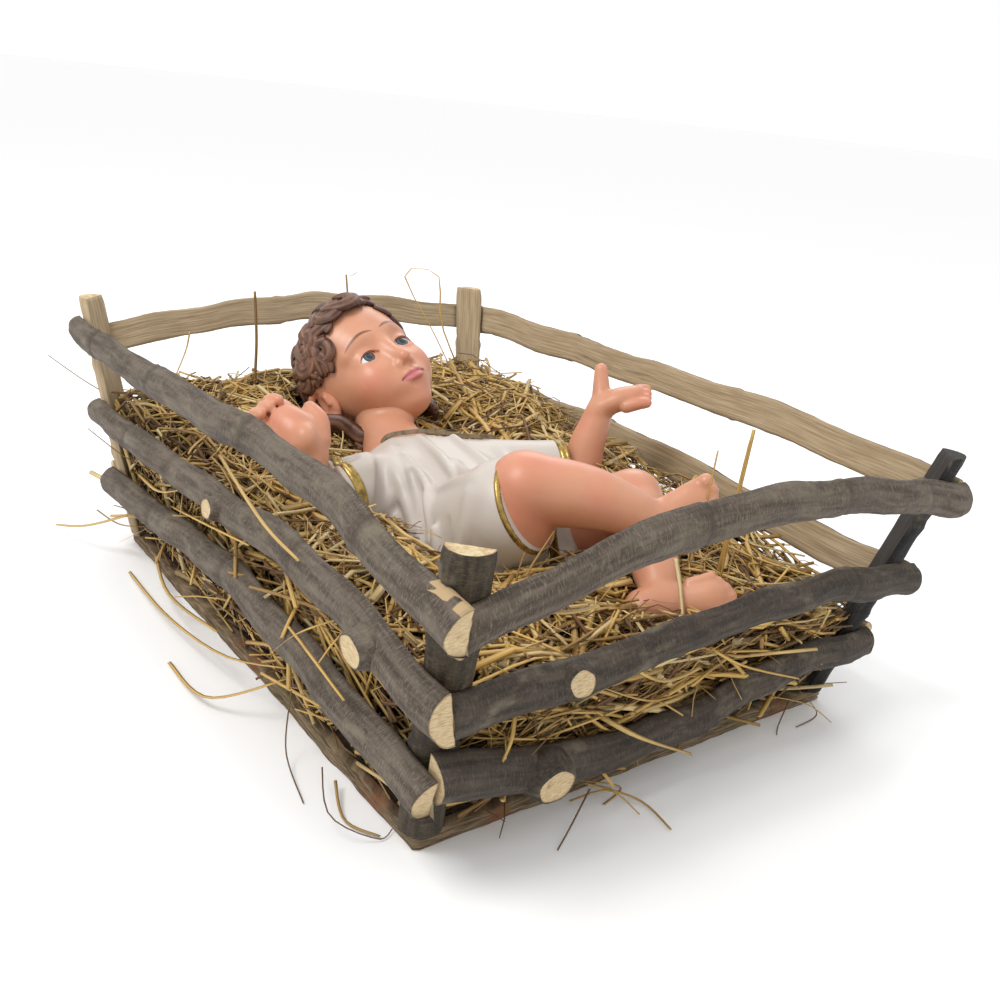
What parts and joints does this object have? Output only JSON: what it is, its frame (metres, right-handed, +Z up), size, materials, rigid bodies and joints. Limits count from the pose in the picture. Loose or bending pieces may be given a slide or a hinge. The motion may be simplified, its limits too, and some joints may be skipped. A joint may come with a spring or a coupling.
{
  "type": "baby jesus figurine in a branch crib",
  "caption": "Painted cast figure of a baby in a short tunic, lying on straw in a low open crib of split branches on a flat board.",
  "frame": {"origin": "middle of the base board's underside, on the surface that the crib stands on", "axes": "+X from the figure's head towards its feet, +Y towards its left arm, +Z up"},
  "size_m": [0.5124, 0.3694, 0.189],
  "materials": {
    "bark": "matt grey-brown bark, split faces and sawn ends pale",
    "dark_bark": "matt near-black bark",
    "board_wood": "rough weathered board with dark crumbly edge",
    "straw": "dry loose straw",
    "painted_cast": "hand-painted cast, satin skin, brown hair, off-white tunic with gilt hems"
  },
  "bodies": {
    "root": {"base_board": "board_wood", "post_near": "bark", "post_left": "bark", "post_far": "bark", "post_right": "dark_bark", "rail_near_low": "bark", "rail_near_mid": "bark", "rail_near_top": "bark", "rail_far_low": "bark", "rail_far_mid": "bark", "rail_far_top": "bark", "rail_foot_low": "bark", "rail_foot_mid": "bark", "rail_foot_top": "bark", "rail_head_low": "bark", "rail_head_mid": "bark", "rail_head_top": "bark", "straw_bed": "straw", "baby_figure": "painted_cast"}
  },
  "joints": []
}
